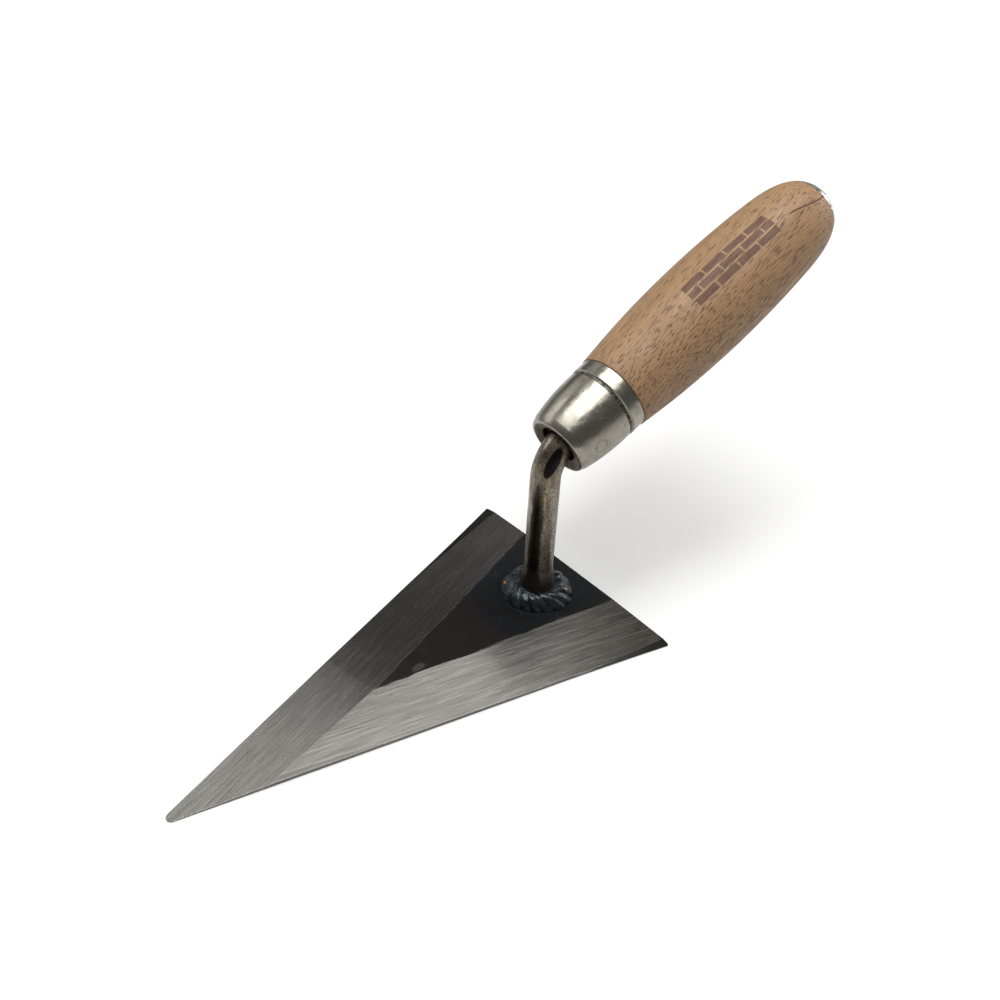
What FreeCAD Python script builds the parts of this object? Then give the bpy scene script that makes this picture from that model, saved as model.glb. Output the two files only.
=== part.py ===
"""Brick trowel: a ground steel blade, a bent round neck welded to it, and a turned wooden handle
held between a pressed ferrule and a pressed end cap.

Millimetres. The origin is where the neck's axis meets the blade's underside, +X points to the
blade's tip, +Z up, and the handle runs back and up over the blade's rear edge. Everything on the
handle is turned about one inclined axis, and is modelled along +Z from the ferrule's nose and
then laid on that axis.
"""
import FreeCAD
import Part

import math
import os

Vec = FreeCAD.Vector

# ---- blade -------------------------------------------------------------------------------
BLADE_LENGTH = 161.3        # rear edge to the rounded tip
BLADE_WIDTH = 93.0          # across the rear corners
BLADE_THICK = 1.8           # the sheet, as it is left under the neck
TIP_RADIUS = 1.7
CORNER_RADIUS = 1.3
EDGE_FLARE = 0.8            # how far the sides bow outward at the rear corners
FLARE_LENGTH = 42.0         # length of the bowed stretch
NECK_SETBACK = 18.1         # rear edge to the neck's axis

# ---- ground bevels on the blade's top ------------------------------------------------------
FLAT_LENGTH = 88.8          # rear edge to the point of the unground triangle
FLAT_RIGHT = 25.2           # half width of the unground triangle at the rear, on the -Y side
FLAT_LEFT = 20.0            # the same on the +Y side
BEVEL_DROP_RIGHT = 0.80     # how much lower the -Y edge is than the unground triangle
BEVEL_DROP_LEFT = 0.70
TIP_GRIND_RIGHT = 69.0      # the third grind, over the tip, starts this far back on the -Y side
TIP_GRIND_LEFT = 28.0       # and this far back on the +Y side
FACET_LENGTH = 38.0         # rounded-over stretch of each side, ahead of the rear corner
FACET_WIDTH = 2.4
FACET_LOW = 0.3             # thickness left at the rear corner's outer edge

# ---- neck ----------------------------------------------------------------------------------
NECK_D = 10.0
NECK_LEAN = 1.2             # forward lean of the neck, in degrees
FOOT_FLARE = 2.0            # how far the neck's upset foot spreads, all round
FOOT_HALF_WAY = 0.45        # share of the flare that is left halfway up
FOOT_HEIGHT = 13.2
BEND_RADIUS = 14.0
AXES_HEIGHT = 62.0          # underside of the blade to where the neck's and handle's axes cross
HANDLE_TILT = 22.9          # handle's axis above the horizontal, in degrees
TANG_D = 7.0
NECK_IN_HANDLE = 14.0       # how far the full neck diameter runs into the wood
RIVET_D = 10.0              # the tang's end, peened over inside the cap's dimple
RIVET_HEIGHT = 1.4

# ---- weld ----------------------------------------------------------------------------------
WELD_D = 24.4
WELD_HEIGHT = 5.2
WELD_LOBES = 17
WELD_RIPPLE = 0.45
CORNERS_PER_LOBE = 3

# ---- ferrule -------------------------------------------------------------------------------
NOSE_BACK = 4.1             # from where the axes cross to the ferrule's nose
FERRULE_WALL = 0.8
NOSE_D = 21.8
NOSE_ROUND = 1.3
NOSE_DISH = 1.0             # how far the nose's face is pressed in
NOSE_HOLE_GAP = 0.25        # between the bent neck and the hole, where they are closest
BARREL_D = 26.6
BARREL_LENGTH = 18.5        # nose to where the barrel stops swelling
GROOVE_BACK = 2.3           # from there to the middle of the rolled groove
GROOVE_RADIUS = 0.9
GROOVE_DEPTH = 0.45
BAND_LENGTH = 5.6           # middle of the groove to the rear end
BAND_STEP = 0.4             # how much wider the band is than the barrel

# ---- handle --------------------------------------------------------------------------------
HANDLE_END = 131.6          # ferrule's nose to the end of the butt
SHOULDER_STEP = 0.7         # how much wider the wood is than the band in front of it
SHOULDER_CHAMFER = 0.4
GRIP_D = 33.8
GRIP_AT = 74.0              # nose to the fattest place
BUTT_TAPER = 2.5            # how much thinner the wood is where the butt starts to round over
BUTT_LENGTH = 24.0
BUTT_RUN_ON = 13.0          # how far the butt's curve is drawn on along the grip's line
BUTT_BLUNT = 12.2           # and how far out along the flat of its end
SPIGOT_ROOM = 1.6           # free space ahead of the wood, behind the end of the bend
BORE_GAP = 0.1              # radial room round neck and tang
SEAT_GAP = 0.05             # between wood and pressed metal

# ---- end cap -------------------------------------------------------------------------------
CAP_DEPTH = 6.1             # rim to end, along the handle
CAP_WALL = 0.7
DIMPLE_D = 12.0
DIMPLE_DEPTH = 1.8
CAP_SLITS = 3
CAP_SLIT_WIDTH = 0.6
CAP_SLIT_LENGTH = 2.4
CAP_SLIT_TURN = 64.0        # turn of the first slit from the handle's top, in degrees

# ---- worked out from the above ---------------------------------------------------------------
TILT = math.radians(HANDLE_TILT)
LEAN = math.radians(NECK_LEAN)
NECK_DIR = Vec(math.sin(LEAN), 0, math.cos(LEAN))
HANDLE_DIR = Vec(-math.cos(TILT), 0, math.sin(TILT))
AXES_CROSS = Vec(AXES_HEIGHT * math.tan(LEAN), 0, AXES_HEIGHT)
NOSE = AXES_CROSS + HANDLE_DIR * NOSE_BACK
FOOT_D = NECK_D + 2 * FOOT_FLARE
BEND_TURN = NECK_DIR.getAngle(HANDLE_DIR)
BEND_REACH = BEND_RADIUS * math.tan(BEND_TURN / 2)      # axes' crossing to either end of the bend
BEND_IN_NOSE = max(BEND_REACH - NOSE_BACK, 0.0)         # how much of the bend is behind the nose
SPIGOT_START = BEND_IN_NOSE + SPIGOT_ROOM
TANG_START = SPIGOT_START + NECK_IN_HANDLE
GROOVE_AT = BARREL_LENGTH + GROOVE_BACK
FERRULE_LENGTH = GROOVE_AT + BAND_LENGTH
BAND_D = BARREL_D + BAND_STEP
SHOULDER_D = BAND_D + SHOULDER_STEP
BUTT_D = GRIP_D - BUTT_TAPER
CAP_START = HANDLE_END - CAP_DEPTH
BUTT_START = HANDLE_END - BUTT_LENGTH
FAR = 4 * (BLADE_LENGTH + HANDLE_END)                   # longer than anything on the trowel


# ---- helpers -------------------------------------------------------------------------------
def face_of(edges):
    return Part.Face(Part.Wire(Part.sortEdges(edges)[0]))


def line(a, b):
    return Part.LineSegment(a, b).toShape()


def arc(a, b, c):
    return Part.Arc(a, b, c).toShape()


def bow(a, middle, b):
    """A shallow curve through three points, the middle one halfway along."""
    curve = Part.BezierCurve()
    curve.setPoles([a, middle * 2 - (a + b) * 0.5, b])
    return curve.toShape()


def polygon_edges(points):
    return [line(a, b) for a, b in zip(points, points[1:])]


def at(s, r):
    """A point of a turned profile: s along the axis, r from it."""
    return Vec(r, 0, s)


def turned(edges):
    """Revolves a closed half profile in the XZ plane about Z."""
    return face_of(edges).revolve(Vec(0, 0, 0), Vec(0, 0, 1), 360)


def rod(radius, start, end):
    """A cylinder about Z between two heights."""
    return Part.makeCylinder(radius, end - start, at(start, 0))


def on_handle_axis(shape):
    """Moves a shape modelled along +Z from the ferrule's nose on to the handle's axis."""
    turn = FreeCAD.Rotation(Vec(0, 1, 0), HANDLE_TILT - 90.0)
    shape.Placement = FreeCAD.Placement(NOSE, turn)
    return shape


def above_plane(a, b, c):
    """A huge slab whose lower face passes through three points."""
    normal = (b - a).cross(c - a)
    normal = normal.normalize() if normal.z > 0 else normal.normalize() * -1
    slab = Part.makeBox(2 * FAR, 2 * FAR, FAR, Vec(-FAR, -FAR, 0))
    slab.Placement = FreeCAD.Placement(a, FreeCAD.Rotation(Vec(0, 0, 1), normal))
    return slab


# ---- blade ---------------------------------------------------------------------------------
REAR_X = -NECK_SETBACK
TIP_X = REAR_X + BLADE_LENGTH


def blade_sides():
    """Half apex angle and the sharp point where the two straight sides would meet."""
    half = BLADE_WIDTH / 2 - EDGE_FLARE
    angle = math.atan2(half, BLADE_LENGTH)
    for _ in range(20):
        sharp = TIP_X + TIP_RADIUS * (1 / math.sin(angle) - 1)
        angle = math.atan2(half, sharp - REAR_X)
    return angle, sharp


SIDE_ANGLE, SHARP_X = blade_sides()


def side_point(x, side, z=0.0):
    """A point of the straight side line at x; side is +1 on +Y and -1 on -Y."""
    return Vec(x, side * (SHARP_X - x) * math.tan(SIDE_ANGLE), z)


def blade_outline(side):
    """Tip arc, straight side and bowed rear stretch of one half, and half of the rear edge."""
    tip_centre = Vec(TIP_X - TIP_RADIUS, 0, 0)
    out = Vec(math.sin(SIDE_ANGLE), side * math.cos(SIDE_ANGLE), 0)
    half_out = (out + Vec(1, 0, 0)).normalize()
    side_start = tip_centre + out * TIP_RADIUS
    bow_start = side_point(REAR_X + FLARE_LENGTH, side)
    bow_middle = side_point(REAR_X + FLARE_LENGTH / 2, side) + Vec(0, side * EDGE_FLARE / 4, 0)
    corner = Vec(REAR_X, side * BLADE_WIDTH / 2, 0)
    return [
        arc(Vec(TIP_X, 0, 0), tip_centre + half_out * TIP_RADIUS, side_start),
        line(side_start, bow_start),
        arc(bow_start, bow_middle, corner),
        line(corner, Vec(REAR_X, 0, 0)),
    ]


def plate():
    """The blade's outline at full thickness, with its rear corners rounded."""
    sheet = face_of(blade_outline(1) + blade_outline(-1)).extrude(Vec(0, 0, BLADE_THICK))
    corners = [
        e for e in sheet.Edges
        if abs(e.BoundBox.YMax - e.BoundBox.YMin) < 1e-3 and e.BoundBox.XMax < REAR_X + 1e-3
        and abs(e.BoundBox.YMax) > BLADE_WIDTH / 4
    ]
    return sheet.makeFillet(CORNER_RADIUS, corners)


def bevel(side, flat_half, drop):
    """The ground plane of one side: level along the unground triangle, lower at the side."""
    point = Vec(REAR_X + FLAT_LENGTH, 0, BLADE_THICK)
    rear = Vec(REAR_X, side * flat_half, BLADE_THICK)
    edge = side_point(REAR_X + FLAT_LENGTH / 2, side, BLADE_THICK - drop)
    return point, rear, edge


def plane_height(points, x, y):
    a, b, c = points
    n = (b - a).cross(c - a)
    return a.z - (n.x * (x - a.x) + n.y * (y - a.y)) / n.z


def facet(side, bevel_points):
    """The rounded-over strip along a rear corner, from the bevel down to the outer edge."""
    ahead = side_point(REAR_X + FACET_LENGTH, side)
    ahead.z = plane_height(bevel_points, ahead.x, ahead.y)
    inner = Vec(REAR_X, side * (BLADE_WIDTH / 2 - FACET_WIDTH), 0)
    inner.z = plane_height(bevel_points, inner.x, inner.y)
    return ahead, inner, Vec(REAR_X, side * BLADE_WIDTH / 2, FACET_LOW)


def make_blade():
    right = bevel(-1, FLAT_RIGHT, BEVEL_DROP_RIGHT)
    left = bevel(1, FLAT_LEFT, BEVEL_DROP_LEFT)
    grind_right = side_point(TIP_X - TIP_GRIND_RIGHT, -1)
    grind_right.z = plane_height(right, grind_right.x, grind_right.y)
    grind_left = side_point(TIP_X - TIP_GRIND_LEFT, 1)
    grind_left.z = plane_height(left, grind_left.x, grind_left.y)
    blade = plate()
    for points in (right, left, (right[0], grind_right, grind_left), facet(-1, right), facet(1, left)):
        blade = blade.cut(above_plane(*points))
    return blade


# ---- neck ----------------------------------------------------------------------------------
def bent_rod():
    """The neck's full diameter: straight up, round the bend and into the handle."""
    low = AXES_CROSS - NECK_DIR * BEND_REACH
    high = AXES_CROSS + HANDLE_DIR * BEND_REACH
    to_centre = (HANDLE_DIR - NECK_DIR).normalize()
    centre = AXES_CROSS + to_centre * (BEND_RADIUS / math.cos(BEND_TURN / 2))
    section = Part.Face(Part.Wire(Part.makeCircle(NECK_D / 2, low, NECK_DIR)))
    bend = section.revolve(centre, NECK_DIR.cross(HANDLE_DIR), math.degrees(BEND_TURN))
    in_handle = TANG_START + NOSE_BACK - BEND_REACH
    upright = Part.makeCylinder(NECK_D / 2, low.Length, Vec(0, 0, 0), NECK_DIR)
    return upright.multiFuse([bend, Part.makeCylinder(NECK_D / 2, in_handle, high, HANDLE_DIR)])


def neck_foot():
    """The flare that the neck's end is upset to."""
    low, high = at(0, FOOT_D / 2), at(BLADE_THICK + FOOT_HEIGHT, NECK_D / 2 - SEAT_GAP)
    middle = at(high.z / 2, NECK_D / 2 + FOOT_FLARE * FOOT_HALF_WAY)
    core = polygon_edges([high, at(high.z, 0), at(0, 0), low])
    foot = turned([bow(low, middle, high)] + core)
    foot.Placement = FreeCAD.Placement(Vec(0, 0, 0), FreeCAD.Rotation(Vec(0, 0, 1), NECK_DIR))
    return foot


def tang():
    """The thin rear end of the neck, peened over inside the cap's dimple."""
    floor = HANDLE_END - DIMPLE_DEPTH
    rim, crown = at(floor, RIVET_D / 2), at(floor + RIVET_HEIGHT, 0)
    half_way = at(floor + RIVET_HEIGHT * 0.75, RIVET_D / 4)
    dome = turned([line(at(floor, 0), rim), bow(rim, half_way, crown), line(crown, at(floor, 0))])
    return on_handle_axis(rod(TANG_D / 2, TANG_START - 1.0, floor + RIVET_HEIGHT / 2).fuse(dome))


def make_neck():
    neck = bent_rod().multiFuse([neck_foot(), tang()])
    below = Part.makeBox(FAR, FAR, FAR, Vec(-FAR / 2, -FAR / 2, BLADE_THICK - FAR))
    return neck.cut(below)


# ---- weld bead -------------------------------------------------------------------------------
def weld_ring(radius, height, ripple, turn):
    """A closed ring with one ripple per lobe; turn shifts the ripples round, in lobes."""
    corners = CORNERS_PER_LOBE * WELD_LOBES
    points = []
    for k in range(corners):
        a = 2 * math.pi * k / corners
        r = radius + ripple * math.cos(WELD_LOBES * a + 2 * math.pi * turn)
        points.append(Vec(r * math.cos(a), r * math.sin(a), BLADE_THICK + height))
    return Part.makePolygon(points + points[:1])


def make_weld_bead(neck):
    """A fillet of overlapping ripples between the neck's foot and the blade."""
    outer, inner = WELD_D / 2, FOOT_D / 2 - SEAT_GAP
    rings = [
        weld_ring(outer, 0, WELD_RIPPLE, 0),
        weld_ring(outer - 0.18 * (outer - inner), WELD_HEIGHT * 0.42, WELD_RIPPLE, 0.12),
        weld_ring(outer - 0.55 * (outer - inner), WELD_HEIGHT * 0.86, WELD_RIPPLE * 0.7, 0.3),
        weld_ring(inner - 0.4, WELD_HEIGHT, WELD_RIPPLE * 0.2, 0.5),
    ]
    return Part.makeLoft(rings, True, True).cut(neck)


# ---- ferrule -------------------------------------------------------------------------------
BARREL_SWELL = (BARREL_D - NOSE_D) / 2
BARREL_CURVE = (BARREL_SWELL ** 2 + BARREL_LENGTH ** 2) / (2 * BARREL_SWELL)
BARREL_CENTRE_R = BARREL_D / 2 - BARREL_CURVE


def barrel_radius(s, inset):
    """Radius of the swelling barrel at s, taken inward by inset."""
    return BARREL_CENTRE_R + math.sqrt((BARREL_CURVE - inset) ** 2 - (BARREL_LENGTH - s) ** 2)


def groove_span():
    """Where the rolled groove starts in the barrel and where it ends in the band."""
    centre = BARREL_D / 2 - GROOVE_DEPTH + GROOVE_RADIUS
    half_front = math.sqrt(GROOVE_RADIUS ** 2 - (centre - BARREL_D / 2) ** 2)
    half_back = math.sqrt(GROOVE_RADIUS ** 2 - (centre - BAND_D / 2) ** 2)
    return GROOVE_AT - half_front, GROOVE_AT + half_back


def outer_edges(start):
    """The ferrule's outside, from the nose's rounding to its rear end."""
    middle = (start + BARREL_LENGTH) / 2
    swell_end = at(BARREL_LENGTH, BARREL_D / 2)
    groove_start, groove_end = groove_span()
    barrel_end = at(groove_start, BARREL_D / 2)
    band_start = at(groove_end, BAND_D / 2)
    return [
        bow(at(start, barrel_radius(start, 0)), at(middle, barrel_radius(middle, 0)), swell_end),
        line(swell_end, barrel_end),
        arc(barrel_end, at(GROOVE_AT, BARREL_D / 2 - GROOVE_DEPTH), band_start),
        line(band_start, at(FERRULE_LENGTH, BAND_D / 2)),
    ]


def lining_points(start, inset):
    """The ferrule's outside taken inward by inset, as straight cones, from start to its rear end."""
    half = BARREL_LENGTH / 2
    front, middle = barrel_radius(0, inset), barrel_radius(half, inset)
    barrel, band = BARREL_D / 2 - inset, BAND_D / 2 - inset
    groove_start, groove_end = groove_span()
    return [
        at(start, front + (middle - front) * start / half),
        at(half, middle),
        at(BARREL_LENGTH, barrel),
        at(groove_start, barrel),
        at(GROOVE_AT, barrel - GROOVE_DEPTH),
        at(groove_end, band),
        at(FERRULE_LENGTH, band),
    ]


def nose_round():
    """Start, middle and end of the rounding from the barrel to the nose's face."""
    reach = BARREL_CURVE - NOSE_ROUND
    centre = at(NOSE_ROUND, BARREL_CENTRE_R + math.sqrt(reach ** 2 - (BARREL_LENGTH - NOSE_ROUND) ** 2))
    outward = (centre - at(BARREL_LENGTH, BARREL_CENTRE_R)).normalize()
    forward = Vec(0, 0, -1)
    middle = (outward + forward).normalize()
    return [centre + way * NOSE_ROUND for way in (outward, middle, forward)]


def nose_hole_radius():
    """The hole clears the neck, which is still bending and so off centre where it passes."""
    offset = BEND_RADIUS - math.sqrt(BEND_RADIUS ** 2 - BEND_IN_NOSE ** 2)
    slope = math.asin(BEND_IN_NOSE / BEND_RADIUS)
    return offset + NECK_D / 2 / math.cos(slope) + NOSE_HOLE_GAP


def make_ferrule():
    hole = nose_hole_radius()
    rounding = nose_round()
    dish = [rounding[2], at(NOSE_DISH, hole), at(NOSE_DISH + FERRULE_WALL, hole)]
    lining = lining_points(FERRULE_WALL, FERRULE_WALL)
    rear = at(FERRULE_LENGTH, BAND_D / 2)
    edges = [arc(*rounding)] + outer_edges(rounding[0].z) + polygon_edges(dish + lining + [rear])
    return on_handle_axis(turned(edges))


# ---- handle and end cap ----------------------------------------------------------------------
def butt_edge(inset):
    """The rounded butt's line, from its start to the axis, taken inward by inset."""
    fall = (GRIP_D - BUTT_D) / (BUTT_START - GRIP_AT)
    radius = BUTT_D / 2 - inset
    end = HANDLE_END - inset
    run_on = at(BUTT_START + BUTT_RUN_ON, radius - fall * BUTT_RUN_ON)
    curve = Part.BezierCurve()
    curve.setPoles([at(BUTT_START, radius), run_on, at(end, BUTT_BLUNT - inset), at(end, 0)])
    return curve.toShape()


def grip_edge(start, start_radius, end, end_radius):
    """A shallow curve between two places of the grip, level at the fatter one."""
    sag = abs(start_radius - end_radius) / 4
    middle = at((start + end) / 2, max(start_radius, end_radius) - sag)
    return bow(at(start, start_radius), middle, at(end, end_radius))


def butt_solid(inset, start):
    """Everything inside the butt's line, behind start, with the cap's dimple sunk in its end."""
    corners = [at(HANDLE_END - inset, 0), at(BUTT_START, 0), at(BUTT_START, BUTT_D / 2 - inset)]
    butt = turned([butt_edge(inset)] + polygon_edges(corners))
    floor = HANDLE_END - DIMPLE_DEPTH - inset
    return butt.cut(rod(DIMPLE_D / 2 + inset, floor, FAR)).common(rod(GRIP_D, start, FAR))


def grip_solid():
    """The wood from the ferrule's rear end to the cap's rim, without its bore."""
    start = FERRULE_LENGTH + SEAT_GAP
    behind = start + SHOULDER_CHAMFER
    shoulder, grip, butt = SHOULDER_D / 2, GRIP_D / 2, BUTT_D / 2
    front = [at(HANDLE_END, 0), at(start, 0), at(start, shoulder - SHOULDER_CHAMFER), at(behind, shoulder)]
    outline = polygon_edges(front)
    outline.append(grip_edge(behind, shoulder, GRIP_AT, grip))
    outline.append(grip_edge(GRIP_AT, grip, BUTT_START, butt))
    outline.append(butt_edge(0))
    return turned(outline).common(rod(GRIP_D, 0, CAP_START - SEAT_GAP))


def spigot_solid():
    """The wood inside the ferrule, pressed into its groove."""
    lining = lining_points(SPIGOT_START, FERRULE_WALL + SEAT_GAP)
    behind = FERRULE_LENGTH + SHOULDER_CHAMFER
    core = [at(behind, lining[-1].x), at(behind, 0), at(SPIGOT_START, 0), lining[0]]
    return turned(polygon_edges(lining + core))


def make_handle():
    under_cap = butt_solid(CAP_WALL + SEAT_GAP, CAP_START - CAP_WALL)
    wood = grip_solid().multiFuse([spigot_solid(), under_cap])
    wood = wood.cut(rod(NECK_D / 2 + BORE_GAP, 0, TANG_START + BORE_GAP))
    wood = wood.cut(rod(TANG_D / 2 + BORE_GAP, 0, FAR))
    return on_handle_axis(wood.removeSplitter())


def cap_slit(turn):
    """One relief slit in the cap's rim."""
    corner = Vec(BUTT_D / 4, -CAP_SLIT_WIDTH / 2, CAP_START - CAP_SLIT_LENGTH)
    slit = Part.makeBox(BUTT_D, CAP_SLIT_WIDTH, 2 * CAP_SLIT_LENGTH, corner)
    slit.rotate(Vec(0, 0, 0), Vec(0, 0, 1), turn)
    return slit


def make_end_cap():
    cap = butt_solid(0, CAP_START).cut(butt_solid(CAP_WALL, BUTT_START))
    cap = cap.cut(rod(TANG_D / 2 + BORE_GAP, 0, FAR))
    for k in range(CAP_SLITS):
        cap = cap.cut(cap_slit(CAP_SLIT_TURN + 360 * k / CAP_SLITS))
    return on_handle_axis(cap)


def main():
    os.makedirs("parts", exist_ok=True)
    neck = make_neck()
    nodes = {
        "blade": make_blade(),
        "weld_bead": make_weld_bead(neck),
        "neck": neck,
        "ferrule": make_ferrule(),
        "handle": make_handle(),
        "end_cap": make_end_cap(),
    }
    for name, shape in nodes.items():
        if len(shape.Solids) != 1:
            raise ValueError(f"{name} is {len(shape.Solids)} solids")
        shape.Solids[0].exportStep(f"parts/{name}.step")


main()
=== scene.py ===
"""Looks of a brick trowel: ground steel blade, weld, nickelled neck and ferrule, turned beech handle.

Metres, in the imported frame: +X to the blade's tip, +Z up, origin where the neck's axis meets the
blade's underside. Pieces on the handle are modelled along +Z from the ferrule's nose and then laid
on its axis.
"""

import math

import bmesh
import bpy
from mathutils import Matrix, Vector, noise


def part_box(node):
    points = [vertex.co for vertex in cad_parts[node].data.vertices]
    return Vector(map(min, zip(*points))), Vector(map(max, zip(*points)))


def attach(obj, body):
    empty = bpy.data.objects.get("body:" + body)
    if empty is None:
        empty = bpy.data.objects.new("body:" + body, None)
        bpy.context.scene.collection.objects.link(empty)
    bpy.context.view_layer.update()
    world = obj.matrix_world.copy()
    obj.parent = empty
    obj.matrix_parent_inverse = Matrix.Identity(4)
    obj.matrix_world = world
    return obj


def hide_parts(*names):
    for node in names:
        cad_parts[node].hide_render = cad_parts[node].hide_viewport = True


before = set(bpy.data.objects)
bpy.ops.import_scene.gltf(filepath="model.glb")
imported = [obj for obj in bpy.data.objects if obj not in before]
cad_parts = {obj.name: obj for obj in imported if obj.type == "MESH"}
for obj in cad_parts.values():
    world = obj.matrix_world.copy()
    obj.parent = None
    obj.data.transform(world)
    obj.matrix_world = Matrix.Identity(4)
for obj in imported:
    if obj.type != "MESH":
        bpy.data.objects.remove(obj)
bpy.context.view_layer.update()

MM = 0.001

# ---- sizes read from the frame ----
BLADE_LOW, BLADE_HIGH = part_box("blade")
WELD_LOW, WELD_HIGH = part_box("weld_bead")
REAR_X = BLADE_LOW.x
TIP_X = BLADE_HIGH.x
BLADE_THICK = BLADE_HIGH.z
WELD_OUTER = (WELD_HIGH.y - WELD_LOW.y) / 2
WELD_TOP = WELD_HIGH.z

# ---- blade: close to the design's values, with sharper rear corners ----
HALF_WIDTH = 46.2 * MM
TIP_RADIUS = 1.7 * MM
CORNER_RADIUS = 0.6 * MM
EDGE_FLARE = 0.8 * MM
FLARE_LENGTH = 42 * MM
FLAT_LENGTH = 88.8 * MM
FLAT_RIGHT = 25.2 * MM
FLAT_LEFT = 20.0 * MM
BEVEL_DROP_RIGHT = 0.80 * MM
BEVEL_DROP_LEFT = 0.70 * MM
TIP_GRIND_RIGHT = 69 * MM
TIP_GRIND_LEFT = 28 * MM
FACET_RIGHT = (50 * MM, 4.4 * MM)       # length and width of each rolled-over rear corner
FACET_LEFT = (27 * MM, 2.8 * MM)
FACET_LOW = 0.3 * MM
RIM_SOFT = 0.10 * MM                    # softening of the blade's cut edges
RIM_SHARP = math.radians(40)            # edges steeper than this are softened
CREASE_SHARP = math.radians(0.3)        # so the shallow creases between ground planes stay sharp
TIP_STEPS = 6
FLARE_STEPS = 16

# ---- neck and weld ----
NECK_R = 5.0 * MM
FOOT_R = 7.0 * MM
FOOT_MIDDLE_R = 5.9 * MM
FOOT_TOP = 15.0 * MM
NECK_LEAN = math.radians(1.2)
BEND_RADIUS = 14 * MM
AXES_HEIGHT = 62 * MM
HANDLE_TILT = math.radians(22.9)
TANG_R = 3.5 * MM
TANG_START = 17.5 * MM
RIVET_R = 5.0 * MM
RIVET_HEIGHT = 1.4 * MM
RIVET_TURNS = (0.3, 0.6, 0.9, 1.2, 1.45)
NECK_STEPS = 60
BEND_STEPS = 32
NECK_AROUND = 96
UNEVEN_SCALE = 350                      # noise cells per metre
FOOT_UNEVEN = 0.22 * MM
ROD_UNEVEN = 0.03 * MM
UNEVEN_TOP = 13 * MM
WELD_LOBES = 15
WELD_FRONT = math.radians(42)           # the side where the bead was laid closest to the neck
WELD_AROUND, WELD_ACROSS = 408, 34
WELD_TWIST = 4.2                        # how far the ripples lean from the toe to the neck
WELD_SINK = 0.3 * MM                    # the bead's own crown below its highest ripple
WELD_BITE = 0.2 * MM                    # how far its inner edge reaches into the neck
WELD_RIPPLE = 0.42 * MM

# ---- ferrule, handle and cap: radii at distances from the ferrule's nose ----
NOSE_BACK = 4.1 * MM
NOSE_R = 10.9 * MM
NOSE_HOLE_R = 6.74 * MM
NOSE_ROUND = 1.3 * MM
NOSE_DISH = 1.0 * MM
WALL = 0.8 * MM
BARREL_R = 13.3 * MM
BARREL_LENGTH = 18.5 * MM
GROOVE_AT = 20.8 * MM
GROOVE_HALF = 0.85 * MM
GROOVE_DEPTH = 0.45 * MM
BAND_R = 13.5 * MM
FERRULE_LENGTH = 26.4 * MM
SEAT_GAP = 0.05 * MM
SPIGOT_START = 3.4 * MM
SHOULDER_R = 13.85 * MM
SHOULDER_ROUND = 0.4 * MM
GRIP_R = 16.9 * MM
GRIP_AT = 74 * MM
BUTT_R = 15.65 * MM
HANDLE_END = 131.6 * MM
BUTT_START = HANDLE_END - 24 * MM
BUTT_RUN_ON = 13 * MM
BUTT_BLUNT = 12.2 * MM
CAP_START = HANDLE_END - 6.1 * MM
CAP_WALL = 0.7 * MM
DIMPLE_R = 6.0 * MM
DIMPLE_DEPTH = 1.8 * MM
DIMPLE_EDGE = 0.3 * MM
BORE_GAP = 0.1 * MM
EDGE_BREAK = 0.12 * MM                  # broken edge of the wood at the ferrule
BAND_BREAK = 0.15 * MM                  # broken edge of the ferrule's rear end
WOOD_SCALE = 60                         # noise cells per metre
WOOD_UNEVEN = 0.05 * MM
FERRULE_AROUND, HANDLE_AROUND, CAP_AROUND = 192, 320, 240

NECK_DIR = Vector((math.sin(NECK_LEAN), 0, math.cos(NECK_LEAN)))
HANDLE_DIR = Vector((-math.cos(HANDLE_TILT), 0, math.sin(HANDLE_TILT)))
HANDLE_TOP = Vector((math.sin(HANDLE_TILT), 0, math.cos(HANDLE_TILT)))
AXES_CROSS = Vector((AXES_HEIGHT * math.tan(NECK_LEAN), 0, AXES_HEIGHT))
NOSE = AXES_CROSS + HANDLE_DIR * NOSE_BACK
HANDLE_AXES = Matrix((HANDLE_TOP, Vector((0, 1, 0)), HANDLE_DIR)).transposed()
ON_HANDLE = Matrix.Translation(NOSE) @ HANDLE_AXES.to_4x4()


# ---- outlines ----
def mix(a, b, t):
    return a + (b - a) * t


def bezier(poles, steps):
    """Points of a Bezier curve of any degree, both ends included."""
    points = []
    for k in range(steps + 1):
        level = [Vector(p) for p in poles]
        while len(level) > 1:
            level = [a.lerp(b, k / steps) for a, b in zip(level, level[1:])]
        points.append(level[0])
    return points


def rounded(corners, steps=4):
    """A closed outline of (x, y, radius) corners, each turned into an arc of about that radius."""
    points = []
    for i, (x, y, radius) in enumerate(corners):
        here = Vector((x, y))
        if radius == 0:
            points.append(here)
            continue
        before = Vector(corners[i - 1][:2])
        after = Vector(corners[(i + 1) % len(corners)][:2])
        to_before, to_after = (before - here).normalized(), (after - here).normalized()
        half = to_before.angle(to_after) / 2
        reach = min(radius / math.tan(half), (before - here).length / 2, (after - here).length / 2)
        centre = here + (to_before + to_after).normalized() * (reach / math.cos(half))
        spoke = here + to_before * reach - centre
        turn = math.pi - 2 * half
        turn = turn if to_before.x * to_after.y > to_before.y * to_after.x else -turn
        points += [centre + Matrix.Rotation(-turn * k / steps, 2) @ spoke for k in range(steps + 1)]
    return points


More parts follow.
